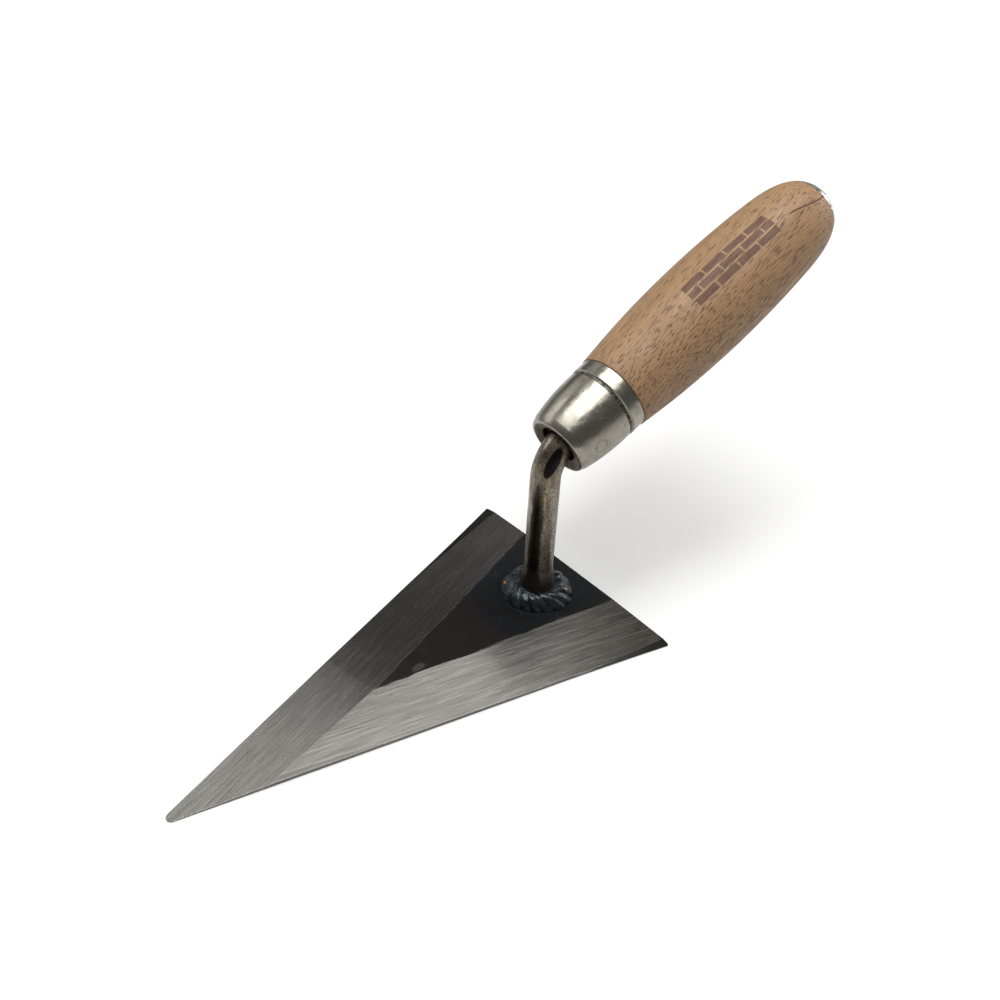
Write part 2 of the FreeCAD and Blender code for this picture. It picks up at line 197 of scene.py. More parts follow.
# ---- meshes ----
def finish_mesh(name, bm, sharp=math.radians(38)):
    """Turns a bmesh into a smooth shaded object whose steep edges stay sharp."""
    bmesh.ops.remove_doubles(bm, verts=bm.verts, dist=MM / 1000)
    bmesh.ops.recalc_face_normals(bm, faces=bm.faces)
    for face in bm.faces:
        face.smooth = True
    for edge in bm.edges:
        edge.smooth = edge.is_manifold and edge.calc_face_angle() < sharp
    mesh = bpy.data.meshes.new(name)
    bm.to_mesh(mesh)
    bm.free()
    piece = bpy.data.objects.new(name, mesh)
    bpy.context.scene.collection.objects.link(piece)
    return piece


def ring_mesh(name, rings, closed):
    """Joins equal rings of points with four-sided faces; a ring of one point is a pole."""
    bm = bmesh.new()
    rows = [[bm.verts.new(p) for p in ring] for ring in rings]
    pairs = list(zip(rows, rows[1:]))
    if closed:
        pairs.append((rows[-1], rows[0]))
    for low, high in pairs:
        count = max(len(low), len(high))
        for k in range(count):
            after = (k + 1) % count
            corners = [low[k % len(low)], low[after % len(low)]]
            corners += [high[after % len(high)], high[k % len(high)]]
            bm.faces.new(list(dict.fromkeys(corners)))
    return finish_mesh(name, bm)


def lathe(name, profile, around, reshape=None):
    """Turns a closed profile of (s, r) points about the handle's axis; reshape moves each point."""
    rings = []
    for s, r in profile:
        ring = []
        for k in range(around):
            angle = 2 * math.pi * k / around
            radius = reshape(s, r, angle) if reshape else r
            ring.append((radius * math.cos(angle), radius * math.sin(angle), s))
        rings.append(ring)
    return ring_mesh(name, rings, closed=True)


# ---- blade ----
def blade_sides():
    """Half apex angle and the sharp point where the two straight sides would meet."""
    half = HALF_WIDTH - EDGE_FLARE
    angle = math.atan2(half, TIP_X - REAR_X)
    for _ in range(20):
        sharp = TIP_X + TIP_RADIUS * (1 / math.sin(angle) - 1)
        angle = math.atan2(half, sharp - REAR_X)
    return angle, sharp


SIDE_ANGLE, SHARP_X = blade_sides()


def side_point(x, side, z=0.0):
    return Vector((x, side * (SHARP_X - x) * math.tan(SIDE_ANGLE), z))


def blade_outline(side):
    """Half of the outline from the tip's front to the rear corner."""
    points = []
    for k in range(TIP_STEPS + 1):
        turn = mix(0, math.pi / 2 - SIDE_ANGLE, k / TIP_STEPS)
        x = TIP_X - TIP_RADIUS + TIP_RADIUS * math.cos(turn)
        points.append((x, side * TIP_RADIUS * math.sin(turn), 0))
    for k in range(FLARE_STEPS + 1):
        x = mix(REAR_X + FLARE_LENGTH, REAR_X, k / FLARE_STEPS)
        flare = EDGE_FLARE * (k / FLARE_STEPS) ** 2
        straight = side_point(x, side)
        points.append((straight.x, straight.y + side * flare, 0))
    corner = points.pop()
    points.append((corner[0], corner[1], CORNER_RADIUS))
    return points


def plane_height(plane, x, y):
    a, b, c = plane
    n = (b - a).cross(c - a)
    return a.z - (n.x * (x - a.x) + n.y * (y - a.y)) / n.z


def bevel_plane(side, flat_half, drop):
    point = Vector((REAR_X + FLAT_LENGTH, 0, BLADE_THICK))
    rear = Vector((REAR_X, side * flat_half, BLADE_THICK))
    return point, rear, side_point(REAR_X + FLAT_LENGTH / 2, side, BLADE_THICK - drop)


def facet_crease(side):
    length, width = FACET_RIGHT if side < 0 else FACET_LEFT
    return side_point(REAR_X + length, side), Vector((REAR_X, side * (HALF_WIDTH - width), 0))


def facet_plane(side, bevel):
    ahead, inner = facet_crease(side)
    ahead.z = plane_height(bevel, ahead.x, ahead.y)
    inner.z = plane_height(bevel, inner.x, inner.y)
    return ahead, inner, Vector((REAR_X, side * HALF_WIDTH, FACET_LOW))


def ground_planes():
    """The two bevels, the grind over the tip and the two rolled-over rear corners."""
    right = bevel_plane(-1, FLAT_RIGHT, BEVEL_DROP_RIGHT)
    left = bevel_plane(1, FLAT_LEFT, BEVEL_DROP_LEFT)
    grind = [right[0], side_point(TIP_X - TIP_GRIND_RIGHT, -1), side_point(TIP_X - TIP_GRIND_LEFT, 1)]
    grind[1].z = plane_height(right, grind[1].x, grind[1].y)
    grind[2].z = plane_height(left, grind[2].x, grind[2].y)
    return [right, left, grind, facet_plane(-1, right), facet_plane(1, left)]


def make_blade():
    outline = rounded(blade_outline(1) + blade_outline(-1)[::-1][:-1])
    bm = bmesh.new()
    sheet = bm.faces.new([bm.verts.new((p.x, p.y, 0)) for p in outline])
    raised = bmesh.ops.extrude_face_region(bm, geom=[sheet])["geom"]
    top = [v for v in raised if isinstance(v, bmesh.types.BMVert)]
    bmesh.ops.translate(bm, verts=top, vec=(0, 0, BLADE_THICK))
    for a, b, c in ground_planes():
        up = (b - a).cross(c - a).normalized()
        up = up if up.z > 0 else -up
        cut = bmesh.ops.bisect_plane(
            bm, geom=bm.verts[:] + bm.edges[:] + bm.faces[:], plane_co=a, plane_no=up, clear_outer=True
        )
        rim = [e for e in cut["geom_cut"] if isinstance(e, bmesh.types.BMEdge)]
        bmesh.ops.contextual_create(bm, geom=rim)
    bmesh.ops.remove_doubles(bm, verts=bm.verts, dist=MM / 200)
    bmesh.ops.recalc_face_normals(bm, faces=bm.faces)
    edges = [e for e in bm.edges if e.is_manifold and e.calc_face_angle() > RIM_SHARP]
    bmesh.ops.bevel(bm, geom=edges, offset=RIM_SOFT, segments=2, profile=0.5, affect="EDGES")
    return finish_mesh("blade_ground", bm, sharp=CREASE_SHARP)


# ---- neck ----
def foot_radius(height):
    if height >= FOOT_TOP:
        return NECK_R
    t = height / FOOT_TOP
    pole = 2 * FOOT_MIDDLE_R - (FOOT_R + NECK_R) / 2
    return mix(mix(FOOT_R, pole, t), mix(pole, NECK_R, t), t)


def neck_stations():
    """(place, direction, radius) along the neck, from the blade to the peened end of its tang."""
    turn = NECK_DIR.angle(HANDLE_DIR)
    reach = BEND_RADIUS * math.tan(turn / 2)
    stations = []
    straight = AXES_CROSS.length - reach
    start = BLADE_THICK / NECK_DIR.z
    for k in range(NECK_STEPS + 1):
        d = mix(start, straight, k / NECK_STEPS)
        stations.append((NECK_DIR * d, NECK_DIR, foot_radius(d)))
    inward = (HANDLE_DIR - NECK_DIR).normalized()
    centre = AXES_CROSS + inward * (BEND_RADIUS / math.cos(turn / 2))
    from_centre = NECK_DIR * straight - centre
    for k in range(1, BEND_STEPS + 1):
        swing = Matrix.Rotation(-turn * k / BEND_STEPS, 3, "Y")
        stations.append((centre + swing @ from_centre, swing @ NECK_DIR, NECK_R))
    floor = HANDLE_END - DIMPLE_DEPTH
    line = [(TANG_START, NECK_R), (TANG_START, TANG_R), (floor, TANG_R), (floor, RIVET_R)]
    for a in RIVET_TURNS:
        line.append((floor + RIVET_HEIGHT * math.sin(a), RIVET_R * math.cos(a)))
    stations += [(NOSE + HANDLE_DIR * s, HANDLE_DIR, r) for s, r in line]
    return stations


def make_neck():
    rings = [[NECK_DIR * (BLADE_THICK / NECK_DIR.z)]]
    stations = neck_stations()
    for place, way, radius in stations:
        side = Vector((0, 1, 0))
        front = side.cross(way).normalized()
        ring = []
        for k in range(NECK_AROUND):
            a = 2 * math.pi * k / NECK_AROUND
            out = front * math.cos(a) + side * math.sin(a)
            rough = noise.noise((place + out * radius) * UNEVEN_SCALE) * neck_roughness(place.z)
            point = place + out * (radius + rough)
            point.z = max(point.z, BLADE_THICK)
            ring.append(point)
        rings.append(ring)
    rings.append([stations[-1][0] + HANDLE_DIR * 0.01 * MM])
    return ring_mesh("neck_rod", rings, closed=False)


def neck_roughness(z):
    """The burnt foot is uneven, the rod above it nearly true."""
    return mix(FOOT_UNEVEN, ROD_UNEVEN, min(max(z / UNEVEN_TOP, 0), 1))


# ---- weld ----
def weld_point(t, angle):
    """A point of the bead: t runs from its scalloped toe up to the neck."""
    ahead = angle - WELD_FRONT
    lean = 0.15 - 0.85 * math.cos(ahead) - 0.6 * math.cos(2 * ahead)
    outer = WELD_OUTER + (lean - 0.45) * MM
    crown = WELD_TOP - BLADE_THICK - WELD_SINK
    inner = foot_radius(WELD_TOP) - WELD_BITE
    wobble = 1.3 * noise.noise(Vector((math.cos(angle), math.sin(angle), 0.3)) * 1.4)
    lobe = WELD_LOBES / 2 * angle + WELD_TWIST * t + wobble
    crest = abs(math.cos(lobe)) ** 0.7
    uneven = noise.noise(Vector((math.cos(angle) * 2.0, math.sin(angle) * 2.0, t * 1.3)))
    wave = (crest - 0.6) * mix(0.8, 0.45, t) + uneven * 0.8
    r = mix(outer, inner, t) + wave * mix(0.8, 0.0, t) * MM
    rise = (1 - (1 - t) ** 2.1) ** 0.85
    h = crown * rise + wave * WELD_RIPPLE * math.sin(math.pi * t ** 0.7)
    r = min(r, WELD_OUTER)
    z = min(max(BLADE_THICK + h, BLADE_THICK), WELD_TOP)
    return Vector((r * math.cos(angle), r * math.sin(angle), z))


def make_weld():
    turns = [2 * math.pi * k / WELD_AROUND for k in range(WELD_AROUND)]
    rings = [[weld_point(t / WELD_ACROSS, turn) for turn in turns] for t in range(WELD_ACROSS + 1)]
    rings.append([Vector((p.x, p.y, BLADE_THICK)) for p in rings[-1]])
    return ring_mesh("weld_ripples", rings, closed=True)


# ---- ferrule ----
SWELL = BARREL_R - NOSE_R
BARREL_CURVE = (SWELL ** 2 + BARREL_LENGTH ** 2) / (2 * SWELL)


def ferrule_radius(s, inset=0.0):
    """The pressed shell's radius at s, taken inward by inset."""
    if s <= BARREL_LENGTH:
        ahead = BARREL_LENGTH - s
        return BARREL_R - BARREL_CURVE + math.sqrt((BARREL_CURVE - inset) ** 2 - ahead ** 2)
    base = BARREL_R if s < GROOVE_AT else BAND_R
    away = abs(s - GROOVE_AT) / GROOVE_HALF
    sunk = GROOVE_DEPTH * (1 - min(away, 1) ** 3)
    return mix(BARREL_R, base, min(away, 1)) - inset - sunk


def ferrule_stations(start):
    """Distances from the nose, closer together in the groove."""
    swelling = [mix(start, BARREL_LENGTH, k / 24) for k in range(25)]
    straight = [BARREL_LENGTH + 0.6 * MM, GROOVE_AT - 1.4 * MM]
    groove = [GROOVE_AT + GROOVE_HALF * (k - 10) / 10 for k in range(21)]
    return swelling + straight + groove + [GROOVE_AT + 1.5 * MM, GROOVE_AT + 3.5 * MM]


def make_ferrule():
    nose = rounded([
        (NOSE_DISH + WALL, NOSE_HOLE_R, 0.15 * MM),
        (NOSE_DISH, NOSE_HOLE_R, 0.2 * MM),
        (0, NOSE_R - NOSE_ROUND, 0.6 * MM),
        (0, NOSE_R - 0.35 * MM, 0.9 * MM),
        (2.2 * MM, ferrule_radius(2.2 * MM), 0),
        (2.2 * MM, NOSE_HOLE_R, 0),
    ], 6)[:-1]
    outer = [Vector((s, ferrule_radius(s))) for s in ferrule_stations(2.6 * MM)]
    rear = [
        Vector((FERRULE_LENGTH - BAND_BREAK, BAND_R)),
        Vector((FERRULE_LENGTH, BAND_R - BAND_BREAK)),
        Vector((FERRULE_LENGTH, BAND_R - WALL)),
    ]
    inner = [Vector((s, ferrule_radius(s, WALL))) for s in ferrule_stations(1.6 * MM)[::-1]]
    return lathe("ferrule_shell", nose + outer + rear + inner, FERRULE_AROUND)


# ---- handle ----
def grip_line():
    """The wood's outside from the ferrule's rear end to the cap's rim."""
    start = FERRULE_LENGTH + SEAT_GAP
    first = Vector((start + SHOULDER_ROUND, SHOULDER_R))
    fattest = Vector((GRIP_AT, GRIP_R))
    butt = Vector((BUTT_START, BUTT_R))
    front = bezier([first, Vector(((first.x + GRIP_AT) / 2, GRIP_R)), fattest], 80)
    rear = bezier([fattest, Vector(((GRIP_AT + BUTT_START) / 2, GRIP_R)), butt], 60)
    end = [p for p in butt_line(0, 120) if p.x < CAP_START - SEAT_GAP]
    edge = [Vector((start, SHOULDER_R - SHOULDER_ROUND))]
    edge.append(Vector((start + EDGE_BREAK, SHOULDER_R - EDGE_BREAK)))
    return edge + front + rear[1:] + end[1:]


def butt_line(inset, steps):
    """The wood's curve at the butt, taken inward by inset, down to the axis."""
    fall = 2 * (GRIP_R - BUTT_R) / (BUTT_START - GRIP_AT)
    radius = BUTT_R - inset
    end = HANDLE_END - inset
    poles = [(BUTT_START, radius), (BUTT_START + BUTT_RUN_ON, radius - fall * BUTT_RUN_ON)]
    poles += [(end, BUTT_BLUNT - inset), (end, 0)]
    return bezier(poles, steps)


def capped_line(inset, start):
    """The butt's line from start into the dimple in its end, as far as the tang's hole."""
    dimple = DIMPLE_R + inset
    floor = HANDLE_END - DIMPLE_DEPTH - inset
    line = [p for p in butt_line(inset, 120) if p.x > start and p.y > dimple]
    line += [Vector((floor + DIMPLE_EDGE, dimple)), Vector((floor, dimple - DIMPLE_EDGE))]
    return line + [Vector((floor, TANG_R + BORE_GAP))]


# the drying crack's ends: distance from the nose, turn about the axis
CRACK_FROM = (106.0 * MM, math.radians(24))
CRACK_TO = (CAP_START, math.radians(38.5))
CRACK_DEPTH = 0.35 * MM
CRACK_HALF = 0.35 * MM


def wood_surface(s, r, angle):
    """Soft unevenness on the outside of the grip, and the drying crack at the butt."""
    if s <= FERRULE_LENGTH + 1 * MM or r < SHOULDER_R * 0.75:
        return r
    around = Vector((r * math.cos(angle), r * math.sin(angle), s))
    r += WOOD_UNEVEN * (noise.noise(around * WOOD_SCALE) - 0.6)
    t = (s - CRACK_FROM[0]) / (CRACK_TO[0] - CRACK_FROM[0])
    if 0 < t:
        middle = mix(CRACK_FROM[1], CRACK_TO[1], t * t * (3 - 2 * t))
        away = abs(angle - middle) * r / (CRACK_HALF * mix(0.7, 1.3, t))
        r -= CRACK_DEPTH * min(t * 4, 1) * max(1 - away, 0) ** 0.7
    return r


def make_handle():
    inset = WALL + SEAT_GAP
    spigot = [Vector((s, ferrule_radius(s, inset))) for s in ferrule_stations(SPIGOT_START)]
    bore, thin_bore = NECK_R + BORE_GAP, TANG_R + BORE_GAP
    front = [Vector((SPIGOT_START, bore))]
    shoulder = [Vector((FERRULE_LENGTH + SEAT_GAP, BAND_R - inset))]
    step = [Vector((CAP_START - SEAT_GAP, BUTT_BLUNT - 1.4 * MM))]
    seat = capped_line(CAP_WALL + SEAT_GAP, CAP_START)
    back = [Vector((TANG_START + BORE_GAP, thin_bore)), Vector((TANG_START + BORE_GAP, bore))]
    profile = front + spigot + shoulder + grip_line() + step + seat + back
    return lathe("handle_beech", profile, HANDLE_AROUND, wood_surface)


# ---- end cap ----
CAP_SLITS = 3
CAP_SLIT_HALF = 0.3 * MM
CAP_SLIT_LENGTH = 2.4 * MM
CAP_SLIT_TURN = math.radians(64)


def make_cap():
    outer = capped_line(0, CAP_START)
    inner = capped_line(CAP_WALL, CAP_START)[::-1]
    cap = lathe("cap_shell", outer + inner, CAP_AROUND)
    for k in range(CAP_SLITS):
        cut_slit(cap, CAP_SLIT_TURN + 2 * math.pi * k / CAP_SLITS)
    return cap


def cut_slit(cap, turn):
    """Cuts one relief slit through the rim with a boolean that is applied at once."""
    bm = bmesh.new()
    bmesh.ops.create_cube(bm, size=2)
    size = Matrix.Diagonal((BUTT_R / 2, CAP_SLIT_HALF, CAP_SLIT_LENGTH, 1))
    place = Matrix.Rotation(turn, 4, "Z") @ Matrix.Translation((BUTT_R, 0, CAP_START)) @ size
    bmesh.ops.transform(bm, matrix=place, verts=bm.verts)
    cutter = finish_mesh("slit_cutter", bm)
    cut = cap.modifiers.new("slit", "BOOLEAN")
    cut.operation = "DIFFERENCE"
    cut.object = cutter
    cut.solver = "EXACT"
    bpy.context.view_layer.update()
    result = bpy.data.meshes.new_from_object(cap.evaluated_get(bpy.context.evaluated_depsgraph_get()))
    cap.modifiers.clear()
    cap.data = result
    bpy.data.objects.remove(cutter)


# ---- material graph ----
class Graph:
    """A material's nodes in short calls. Any input is a number, a colour or another node's output.

    x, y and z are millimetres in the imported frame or, on the handle, from the ferrule's nose with z
    along the handle's axis and x to its top.
    """

    def __init__(self, name, on_handle=False):
        self.material = bpy.data.materials.new(name)
        self.material.use_nodes = True
        self.tree = self.material.node_tree
        self.shader = self.tree.nodes["Principled BSDF"]
        place = self.node("ShaderNodeTexCoord").outputs["Object"]
        if on_handle:
            place = self.vector("SUBTRACT", place, tuple(NOSE))
            place = self.turned(place, math.pi / 2 - HANDLE_TILT, "Y_AXIS")
        self.mm = self.vector("SCALE", place, scale=1 / MM)
        split = self.node("ShaderNodeSeparateXYZ", {"Vector": self.mm})
        self.x, self.y, self.z = split.outputs

    def put(self, socket, value):
        if isinstance(value, bpy.types.NodeSocket):
            self.tree.links.new(value, socket)
        elif isinstance(value, tuple) and len(value) == 3 and socket.type == "RGBA":
            socket.default_value = (*value, 1)
        else:
            socket.default_value = value

    def node(self, kind, inputs=None, **settings):
        made = self.tree.nodes.new(kind)
        for key, value in settings.items():
            setattr(made, key, value)
        for key, value in (inputs or {}).items():
            self.put(made.inputs[key], value)
        return made

    def math(self, operation, a, b=0.0, c=0.0):
        return self.node("ShaderNodeMath", {0: a, 1: b, 2: c}, operation=operation).outputs[0]

    def plus(self, a, b):
        return self.math("ADD", a, b)

    def minus(self, a, b):
        return self.math("SUBTRACT", a, b)

    def times(self, a, b):
        return self.math("MULTIPLY", a, b)

    def vector(self, operation, a, b=(0.0, 0.0, 0.0), scale=1.0):
        made = self.node("ShaderNodeVectorMath", {0: a, 1: b, 3: scale}, operation=operation)
        return made.outputs["Value"] if operation in ("DOT_PRODUCT", "LENGTH") else made.outputs[0]

    def stretched(self, vector, scales):
        return self.vector("MULTIPLY", vector, scales)

    def turned(self, vector, angle, axis="Z_AXIS"):
        inputs = {"Vector": vector, "Angle": angle}
        return self.node("ShaderNodeVectorRotate", inputs, rotation_type=axis).outputs[0]

    def noise(self, vector, scale, detail=3.0, rough=0.55, warp=0.0):
        inputs = {"Vector": vector, "Scale": scale, "Detail": detail}
        inputs.update({"Roughness": rough, "Distortion": warp})
        return self.node("ShaderNodeTexNoise", inputs).outputs[0]

    def cells(self, vector, scale):
        """Distance from the nearest of scattered points, in cell sizes."""
        return self.node("ShaderNodeTexVoronoi", {"Vector": vector, "Scale": scale}).outputs["Distance"]

    def fade(self, value, low, high, to_low=0.0, to_high=1.0):
        """Goes smoothly from to_low to to_high as value goes from low to high."""
        if high < low:
            low, high, to_low, to_high = high, low, to_high, to_low
        inputs = {"Value": value, "From Min": low, "From Max": high, "To Min": to_low, "To Max": to_high}
        return self.node("ShaderNodeMapRange", inputs, interpolation_type="SMOOTHSTEP").outputs[0]

    def reach(self, place, half, lean=0.0):
        """Distance from a place in half sizes of an ellipsoid that leans about Y: 1 on its surface."""
        away = self.vector("SUBTRACT", self.mm, place)
        if lean:
            away = self.turned(away, lean, "Y_AXIS")
        return self.vector("LENGTH", self.vector("DIVIDE", away, half))

    def spot(self, place, half, lean=0.0):
        return self.fade(self.reach(place, half, lean), SPOT_OUTER, SPOT_INNER)

    def stain_ring(self, place, radius, width):
        away = self.minus(self.reach(place, (radius,) * 3), 1.0)
        return self.fade(self.math("ABSOLUTE", away), width / radius, width / radius / 3)

    def colour(self, share, a, b):
        return self.node("ShaderNodeMix", {0: share, 6: a, 7: b}, data_type="RGBA").outputs[2]

    def level(self, share, a, b):
        return self.node("ShaderNodeMix", {0: share, 2: a, 3: b}, data_type="FLOAT").outputs[0]

    def bump(self, height, depth, normal=None):
        """Relief of a height from 0 to 1, depth in metres."""
        inputs = {"Height": height, "Distance": depth, "Strength": 1.0}
        if normal:
            inputs["Normal"] = normal
        return self.node("ShaderNodeBump", inputs).outputs[0]

    def surface(self, colour, metallic, roughness, normal):
        inputs = {"Base Color": colour, "Metallic": metallic, "Roughness": roughness, "Normal": normal}
        for key, value in inputs.items():
            self.put(self.shader.inputs[key], value)
        return self.material


SPOT_OUTER, SPOT_INNER = 1.15, 0.75     # a spot's soft border, in its half sizes
OFF_AXIS = (1.0, 1.0, 0.0)              # leaves the distance from the local z axis

# ---- blade: places in millimetres ----
GROUND_DARK = (0.092, 0.089, 0.083)
GROUND_LIGHT = (0.172, 0.164, 0.150)
GROUND_FAR_PAINTED_LIGHT = (0.22, 0.212, 0.195)
PIT_BROWN = (0.05, 0.045, 0.04)
NICK_GREY = (0.04, 0.038, 0.035)
FACET_BLACK = (0.03, 0.031, 0.032)
SCALE_BLACK = (0.005, 0.005, 0.005)
SCALE_BLUE = (0.002, 0.004, 0.006)
SCALE_BROWN = (0.009, 0.006, 0.006)
SCALE_METAL = 0.15
SMUDGE_GREY = (0.10, 0.10, 0.10)
GRIT_GREY = (0.09, 0.085, 0.08)
FINE_ALONG, FINE_ACROSS = 0.09, 2.2     # brush lines per millimetre
WIDE_ALONG = 0.05
WIDE_LEFT, WIDE_RIGHT = 1.3, 1.7
RAGGED_LEFT, RAGGED_RIGHT = 5.0, 2.2    # how far the lines run into the flat triangle
PIT_STRETCH = (0.5, 1.6, 1.0)
BLADE_NICKS = (((-14.0, 35.0, 1.3), (1.4, 0.4, 2.0)), ((-14.6, 34.4, 1.3), (0.4, 1.0, 2.0)))
SMUDGE = ((54.0, 1.5, 1.8), (2.6, 1.3, 2.0))
HEAT_NEAR, HEAT_FAR = 13.0, 30.0        # blue scale round the weld
HEAT_WAVE = 0.9


def edge_distance(g, line_from, line_to):
    """Distance in millimetres from a line on the blade, positive on its left."""
    a, b = Vector(line_from).to_2d() / MM, Vector(line_to).to_2d() / MM
    along = (b - a).normalized()
    normal = Vector((-along.y, along.x, 0))
    return g.minus(g.vector("DOT_PRODUCT", g.mm, tuple(normal)), normal.x * a.x + normal.y * a.y)


def brushed(g, angle, wide_across):
    """Brush lines along a direction: a height from 0 to 1."""
    along = g.turned(g.mm, -angle)
    fine = g.noise(g.stretched(along, (FINE_ALONG, FINE_ACROSS, 1.0)), 1.0, 1.5, 0.6)
    wide = g.noise(g.stretched(along, (WIDE_ALONG, wide_across, 1.0)), 1.0, 2.0, 0.6)
    return g.level(0.45, fine, wide)


def blade_zones(g):
    """Shares that are unground scale and ground from the left, and the height of the brush lines."""
    apex = (REAR_X + FLAT_LENGTH, 0)
    left = edge_distance(g, apex, (REAR_X, FLAT_LEFT))
    right = edge_distance(g, (REAR_X, -FLAT_RIGHT), apex)
    crease = edge_distance(g, apex, side_point(TIP_X - TIP_GRIND_LEFT, 1))
    lines_left = brushed(g, -SIDE_ANGLE, WIDE_LEFT)
    lines_right = brushed(g, SIDE_ANGLE, WIDE_RIGHT)
    wobble = g.math("MULTIPLY_ADD", g.noise(g.mm, 0.14, 2.0), 1.2, -0.6)
    ragged_left = g.minus(g.times(g.minus(lines_left, 0.5), RAGGED_LEFT), left)
    ragged_right = g.plus(g.times(g.minus(lines_right, 0.5), RAGGED_RIGHT), right)
    on_left = g.fade(g.minus(ragged_left, wobble), -0.35, 0.35)
    on_right = g.fade(g.minus(wobble, ragged_right), -0.25, 0.25)
    scale = g.times(g.minus(1.0, on_left), g.minus(1.0, on_right))
    from_left = g.times(g.fade(g.y, -2.0, 2.0), g.fade(crease, -0.8, 0.8))
    return scale, from_left, g.level(from_left, lines_right, lines_left)


def ground_colour(g, lines, from_left):
    """Brushed steel with pits, one nick, and dark rolled-over corners."""
    colour = g.colour(g.fade(lines, 0.25, 0.75), GROUND_DARK, GROUND_LIGHT)
    # painted light: the ground steel on the far bevel is lighter, standing in for the light it reflects
    colour = g.colour(g.times(g.minus(1.0, from_left), 0.3), colour, GROUND_FAR_PAINTED_LIGHT)
    pits = g.fade(g.cells(g.stretched(g.turned(g.mm, -SIDE_ANGLE), PIT_STRETCH), 0.22), 0.06, 0.03)
    colour = g.colour(g.times(pits, 0.8), colour, PIT_BROWN)
    nick = g.plus(*[g.spot(*part) for part in BLADE_NICKS])
    colour = g.colour(g.times(nick, 0.6), colour, NICK_GREY)
    facet_left = g.fade(edge_distance(g, *facet_crease(1)), 0.15, -0.15)
    facet_right = g.fade(edge_distance(g, *facet_crease(-1)), -0.15, 0.15)
    return g.colour(g.times(g.math("MAXIMUM", facet_left, facet_right), 0.8), colour, FACET_BLACK)


def scale_colour(g, heat):
    """Mill scale: brown towards the apex, blue in rings round the weld, smudged and gritty."""
    from_weld = g.vector("LENGTH", g.stretched(g.mm, OFF_AXIS))
    ring = g.math("SINE", g.math("MULTIPLY_ADD", from_weld, HEAT_WAVE, g.times(heat, 4.0)))
    blue = g.times(g.fade(from_weld, HEAT_FAR, HEAT_NEAR), g.fade(ring, -1.0, 1.0, 0.25, 1.0))
    brown = g.fade(g.plus(g.x, g.times(heat, 14.0)), 8.0, 50.0)
    colour = g.colour(blue, g.colour(brown, SCALE_BLACK, SCALE_BROWN), SCALE_BLUE)
    smudge = g.times(g.fade(g.noise(g.mm, 0.35, 4.0), 0.60, 0.78), 0.15)
    smudge = g.plus(smudge, g.times(g.spot(*SMUDGE), 0.25))
    colour = g.colour(smudge, colour, SMUDGE_GREY)
    grit = g.fade(g.cells(g.mm, 0.35), 0.09, 0.05)
    return g.colour(g.times(grit, 0.6), colour, GRIT_GREY)


def blade_steel():
    g = Graph("blade_steel")
    scale, from_left, lines = blade_zones(g)
    heat = g.noise(g.mm, 0.09, 2.0)
    colour = g.colour(scale, ground_colour(g, lines, from_left), scale_colour(g, heat))
    below = g.fade(g.z, 0.05, 0.25, 1.0, 0.0)
    colour = g.colour(g.times(below, 0.35), colour, SCALE_BLACK)
    rough = g.level(scale, g.fade(lines, 0.2, 0.8, 0.22, 0.30), g.fade(heat, 0.3, 0.7, 0.30, 0.42))
    height = g.level(scale, g.times(lines, 0.35), g.noise(g.mm, 1.6, 4.0))
    ground_left = g.times(from_left, g.minus(1.0, scale))
    lean = g.level(ground_left, -math.sin(SIDE_ANGLE), math.sin(SIDE_ANGLE))
    across = g.node("ShaderNodeCombineXYZ", {0: lean, 1: math.cos(SIDE_ANGLE)})
    g.put(g.shader.inputs["Tangent"], across.outputs[0])
    g.shader.inputs["Anisotropic"].default_value = 1.0
    g.shader.inputs["Specular IOR Level"].default_value = 0.3
    return g.surface(colour, g.level(scale, 1.0, SCALE_METAL), rough, g.bump(height, 0.03 * MM))


# ---- weld ----
WELD_DARK = (0.013, 0.018, 0.021)
WELD_LIGHT = (0.034, 0.042, 0.047)
WELD_TOE_GREY = (0.02, 0.02, 0.022)
WELD_SILVER_HIGHLIGHT = (0.14, 0.145, 0.15)
SPATTER_COPPER = (0.30, 0.12, 0.035)
SPATTER_HALF = (0.35, 0.8, 1.0)
SPATTER = ((-0.4, -9.6, 5.2), (7.5, -8.2, 4.2), (-6.2, 8.2, 4.7))


def weld_metal():
    g = Graph("weld_metal")
    cloud = g.noise(g.mm, 0.35, 4.0)
    colour = g.colour(g.fade(cloud, 0.35, 0.65), WELD_DARK, WELD_LIGHT)
    colour = g.colour(g.fade(g.z, 2.6, 1.9), colour, WELD_TOE_GREY)
    # painted highlights: scattered silver flecks on the dark bead
    colour = g.colour(g.fade(g.noise(g.mm, 2.2, 4.0), 0.63, 0.71), colour, WELD_SILVER_HIGHLIGHT)
    for place in SPATTER:
        colour = g.colour(g.spot(place, SPATTER_HALF), colour, SPATTER_COPPER)
    relief = g.bump(g.noise(g.mm, 0.9, 4.0, 0.5), 0.16 * MM)
    return g.surface(colour, 0.8, g.fade(cloud, 0.3, 0.7, 0.16, 0.34), relief)


# ---- neck ----
NICKEL_PALE = (0.25, 0.225, 0.18)
NICKEL_DULL = (0.15, 0.122, 0.09)
SPECK_BROWN = (0.045, 0.027, 0.016)
REFLECTION_STREAK_BROWN = (0.022, 0.016, 0.012)
REFLECTION_STREAK_WAY = (0.93, 0.37, -0.02)        # from the neck's axis to the dark streak
AMBER = (0.17, 0.095, 0.032)
AMBER_SPOT = ((2.9, 0.2, 63.4), (1.0, 1.2, 1.6))
AMBER_RING = ((4.0, 4.1, 47.6), 1.6, 0.5)
BEND_REFLECTION_BLACK = (0.007, 0.005, 0.006)
BEND_REFLECTION_SPOT = ((2.2, 3.7, 60.9), (2.0, 2.0, 6.0), math.radians(33))
BURNT_BLACK = (0.010, 0.007, 0.006)
BURNT_FULL, BURNT_END = 12.0, 21.0
SCORCH_RED = (0.07, 0.035, 0.02)


